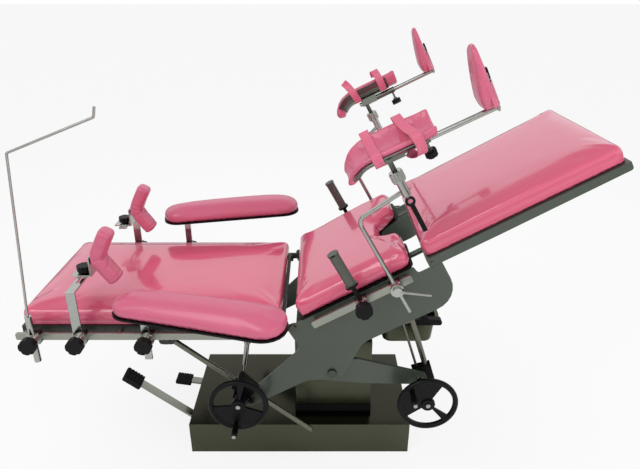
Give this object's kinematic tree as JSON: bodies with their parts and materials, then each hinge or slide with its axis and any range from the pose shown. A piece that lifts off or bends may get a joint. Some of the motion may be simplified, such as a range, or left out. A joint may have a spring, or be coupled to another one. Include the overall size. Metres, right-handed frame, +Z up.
{
  "type": "gynaecological examination table",
  "caption": "Gynaecological examination table with hydraulic column, tilting seat, back and leg sections, handwheel screw drives, knee crutches, armrests and shoulder supports.",
  "frame": {"origin": "centre of the base's outline at floor level, where the levelling feet stand", "axes": "+X along the table towards the leg end, +Y across it, +Z up"},
  "size_m": [1.9693, 1.0708, 1.5504],
  "materials": {
    "painted_steel": "satin",
    "base_stainless": "brushed",
    "bright_steel": "polished",
    "black_part": "satin",
    "rubber": "matte",
    "cushion": "gloss",
    "basin_steel": "satin",
    "grip_metal": "knurled"
  },
  "bodies": {
    "base": {"base_frame": "base_stainless", "base_cover": "base_stainless", "column_inner": "bright_steel", "column_collar": "black_part", "lift_cylinder": "painted_steel", "hydraulic_pump": "painted_steel"},
    "pump_pedal": {"pump_pedal": "bright_steel"},
    "release_pedal": {"release_pedal": "bright_steel"},
    "lift": {"column_cover": "base_stainless", "column_head": "painted_steel", "pivot_shaft": "bright_steel", "lift_rod": "bright_steel", "tilt_arm": "painted_steel"},
    "tilt_gearbox": {"tilt_gearbox": "painted_steel"},
    "tilt_screw": {"tilt_screw": "bright_steel"},
    "tilt_handwheel": {"tilt_handwheel": "black_part"},
    "tilt_crank_grip": {"tilt_crank_grip": "black_part"},
    "top": {"side_plates": "painted_steel", "plate_bolts": "bright_steel", "seat_frame": "painted_steel", "seat_pan": "base_stainless", "seat_cushion": "cushion", "seat_rails": "bright_steel", "basin_frame": "painted_steel"},
    "basin": {"basin": "basin_steel"},
    "back_gearbox": {"back_gearbox": "painted_steel"},
    "back_screw": {"back_screw": "bright_steel"},
    "back_handwheel": {"back_handwheel": "black_part"},
    "back_crank_grip": {"back_crank_grip": "black_part"},
    "strut_cylinder": {"strut_cylinder": "bright_steel"},
    "strut_rod": {"strut_rod": "bright_steel"},
    "back": {"back_frame": "painted_steel", "back_cushion": "cushion", "back_rails": "bright_steel"},
    "leg": {"leg_frame": "painted_steel", "leg_cushion": "cushion"},
    "screen_clamp": {"screen_clamp": "bright_steel"},
    "screen_rod": {"screen_rod": "bright_steel"},
    "holder_clamp_near": {"holder_clamp_near": "bright_steel"},
    "holder_rod_near": {"holder_rod_near": "bright_steel"},
    "crutch_near": {"crutch_shell_near": "base_stainless", "crutch_pad_near": "cushion"},
    "foot_rest_near": {"foot_bar_near": "bright_steel", "foot_pad_near": "cushion"},
    "armrest_post_near": {"armrest_post_near": "bright_steel"},
    "armrest_pad_near": {"armrest_pad_near": "cushion"},
    "shoulder_bracket_near": {"shoulder_bracket_near": "bright_steel"},
    "shoulder_pad_near": {"shoulder_pad_near": "cushion"},
    "handgrip_near": {"handgrip_near": "grip_metal"},
    "holder_clamp_far": {"holder_clamp_far": "bright_steel"},
    "holder_rod_far": {"holder_rod_far": "bright_steel"},
    "crutch_far": {"crutch_shell_far": "base_stainless", "crutch_pad_far": "cushion"},
    "foot_rest_far": {"foot_bar_far": "bright_steel", "foot_pad_far": "cushion"},
    "armrest_post_far": {"armrest_post_far": "bright_steel"},
    "armrest_pad_far": {"armrest_pad_far": "cushion"},
    "shoulder_bracket_far": {"shoulder_bracket_far": "bright_steel"},
    "shoulder_pad_far": {"shoulder_pad_far": "cushion"},
    "handgrip_far": {"handgrip_far": "grip_metal"}
  },
  "joints": [
    {"name": "column_lift", "type": "slide", "parent": "base", "child": "lift", "axis": [0, 0, 1], "range_m": [0, 0.2]},
    {"name": "pump_pedal_press", "type": "hinge", "parent": "base", "child": "pump_pedal", "pos_m": [-0.385, -0.12, 0.052], "axis": [0, -1, 0], "range_deg": [0, 22], "stiffness_Nm_per_rad": 20, "springref_deg": -17.19},
    {"name": "release_pedal_press", "type": "hinge", "parent": "base", "child": "release_pedal", "pos_m": [-0.385, 0.06, 0.108], "axis": [0, -1, 0], "range_deg": [0, 10], "stiffness_Nm_per_rad": 12, "springref_deg": -17.19},
    {"name": "seat_tilt", "type": "hinge", "parent": "lift", "child": "top", "pos_m": [0.1224, 0, 0.4308], "axis": [0, 1, 0], "range_deg": [0, 30]},
    {"name": "back_tilt", "type": "hinge", "parent": "top", "child": "back", "pos_m": [-0.01263, 0, 0.61664], "axis": [0, 1, 0], "range_deg": [-22, 30]},
    {"name": "leg_slide", "type": "slide", "parent": "top", "child": "leg", "axis": [0.8746, 0, 0.4848], "range_m": [-0.03, 0.2]},
    {"name": "basin_slide", "type": "slide", "parent": "top", "child": "basin", "axis": [1, 0, 0], "range_m": [0, 0.16]},
    {"name": "tilt_gearbox_swing", "type": "hinge", "parent": "lift", "child": "tilt_gearbox", "pos_m": [0.437, -0.256, 0.392], "axis": [0, 1, 0], "range_deg": [-0.5, 22.5]},
    {"name": "tilt_screw_travel", "type": "slide", "parent": "tilt_gearbox", "child": "tilt_screw", "axis": [-0.3074, 0, 0.9516], "range_m": [-0.166, 0.002]},
    {"name": "tilt_handwheel_turn", "type": "hinge", "parent": "tilt_gearbox", "child": "tilt_handwheel", "pos_m": [0.454, -0.366, 0.35], "axis": [0, 1, 0], "continuous": true},
    {"name": "back_gearbox_swing", "type": "hinge", "parent": "top", "child": "back_gearbox", "pos_m": [-0.16803, -0.256, 0.31326], "axis": [0, 1, 0], "range_deg": [-17.3, 23.4]},
    {"name": "back_screw_travel", "type": "slide", "parent": "back_gearbox", "child": "back_screw", "axis": [-0.7677, 0, 0.6409], "range_m": [-0.128, 0.173]},
    {"name": "back_handwheel_turn", "type": "hinge", "parent": "back_gearbox", "child": "back_handwheel", "pos_m": [-0.20488, -0.366, 0.34402], "axis": [0, 1, 0], "continuous": true},
    {"name": "strut_swing", "type": "hinge", "parent": "back", "child": "strut_cylinder", "pos_m": [-0.172, -0.218, 0.585], "axis": [0, 1, 0], "range_deg": [-37.5, 27.5]},
    {"name": "strut_stroke", "type": "slide", "parent": "strut_cylinder", "child": "strut_rod", "axis": [-0.1352, 0, -0.9908], "range_m": [-0.046, 0.063]},
    {"name": "tilt_grip_spin", "type": "hinge", "parent": "tilt_handwheel", "child": "tilt_crank_grip", "pos_m": [0.39752, -0.366, 0.40085], "axis": [0, 1, 0], "continuous": true},
    {"name": "back_grip_spin", "type": "hinge", "parent": "back_handwheel", "child": "back_crank_grip", "pos_m": [-0.21545, -0.366, 0.26876], "axis": [0, 1, 0], "continuous": true},
    {"name": "holder_along_rail_near", "type": "slide", "parent": "top", "child": "holder_clamp_near", "axis": [0.8746, 0, 0.4848], "range_m": [-0.05, 0.03]},
    {"name": "holder_height_near", "type": "slide", "parent": "holder_clamp_near", "child": "holder_rod_near", "axis": [-0.4848, 0, 0.8746], "range_m": [-0.04, 0.06]},
    {"name": "crutch_turn_near", "type": "hinge", "parent": "holder_rod_near", "child": "crutch_near", "pos_m": [0.29776, -0.409, 1.19115], "axis": [-0.4848, 0, 0.8746], "range_deg": [-35, 35]},
    {"name": "foot_rest_reach_near", "type": "slide", "parent": "crutch_near", "child": "foot_rest_near", "axis": [0.8988, 0, 0.4384], "range_m": [-0.02, 0.08]},
    {"name": "armrest_along_rail_near", "type": "slide", "parent": "back", "child": "armrest_post_near", "axis": [1, 0, 0], "range_m": [-0.06, 0.05]},
    {"name": "armrest_turn_near", "type": "hinge", "parent": "armrest_post_near", "child": "armrest_pad_near", "pos_m": [-0.498, -0.351, 0.706], "axis": [0, 0, -1], "range_deg": [0, 50]},
    {"name": "shoulder_along_rail_near", "type": "slide", "parent": "back", "child": "shoulder_bracket_near", "axis": [1, 0, 0], "range_m": [-0.06, 0.06]},
    {"name": "shoulder_pad_across_near", "type": "slide", "parent": "shoulder_bracket_near", "child": "shoulder_pad_near", "axis": [0, 1, 0], "range_m": [-0.02, 0.02]},
    {"name": "handgrip_along_rail_near", "type": "slide", "parent": "top", "child": "handgrip_near", "axis": [0.8746, 0, 0.4848], "range_m": [-0.06, 0.03]},
    {"name": "holder_along_rail_far", "type": "slide", "parent": "top", "child": "holder_clamp_far", "axis": [0.8746, 0, 0.4848], "range_m": [-0.05, 0.03]},
    {"name": "holder_height_far", "type": "slide", "parent": "holder_clamp_far", "child": "holder_rod_far", "axis": [-0.4848, 0, 0.8746], "range_m": [-0.04, 0.06]},
    {"name": "crutch_turn_far", "type": "hinge", "parent": "holder_rod_far", "child": "crutch_far", "pos_m": [0.29776, 0.409, 1.19115], "axis": [-0.4848, 0, 0.8746], "range_deg": [-35, 35]},
    {"name": "foot_rest_reach_far", "type": "slide", "parent": "crutch_far", "child": "foot_rest_far", "axis": [0.8988, 0, 0.4384], "range_m": [-0.02, 0.08]},
    {"name": "armrest_along_rail_far", "type": "slide", "parent": "back", "child": "armrest_post_far", "axis": [1, 0, 0], "range_m": [-0.06, 0.05]},
    {"name": "armrest_turn_far", "type": "hinge", "parent": "armrest_post_far", "child": "armrest_pad_far", "pos_m": [-0.498, 0.351, 0.752], "axis": [0, 0, 1], "range_deg": [0, 50]},
    {"name": "shoulder_along_rail_far", "type": "slide", "parent": "back", "child": "shoulder_bracket_far", "axis": [1, 0, 0], "range_m": [-0.06, 0.06]},
    {"name": "shoulder_pad_across_far", "type": "slide", "parent": "shoulder_bracket_far", "child": "shoulder_pad_far", "axis": [0, 1, 0], "range_m": [-0.02, 0.02]},
    {"name": "handgrip_along_rail_far", "type": "slide", "parent": "top", "child": "handgrip_far", "axis": [0.8746, 0, 0.4848], "range_m": [-0.06, 0.03]},
    {"name": "screen_along_rail", "type": "slide", "parent": "back", "child": "screen_clamp", "axis": [1, 0, 0], "range_m": [-0.01, 0.04]},
    {"name": "screen_swing", "type": "hinge", "parent": "screen_clamp", "child": "screen_rod", "pos_m": [-0.875, -0.351, 0.604], "axis": [0, 0, 1], "range_deg": [-60, 60]}
  ],
  "couplings": [
    {"joint": "tilt_gearbox_swing", "follows": "seat_tilt", "ratio": 0.7336},
    {"joint": "tilt_screw_travel", "follows": "seat_tilt", "m_per_rad": -0.312},
    {"joint": "tilt_handwheel_turn", "follows": "seat_tilt", "ratio": -122.5},
    {"joint": "back_gearbox_swing", "follows": "back_tilt", "ratio": 0.7635},
    {"joint": "back_screw_travel", "follows": "back_tilt", "m_per_rad": 0.32779},
    {"joint": "back_handwheel_turn", "follows": "back_tilt", "ratio": 128.7},
    {"joint": "strut_swing", "follows": "back_tilt", "ratio": -1.2247},
    {"joint": "strut_stroke", "follows": "back_tilt", "m_per_rad": 0.11661}
  ]
}
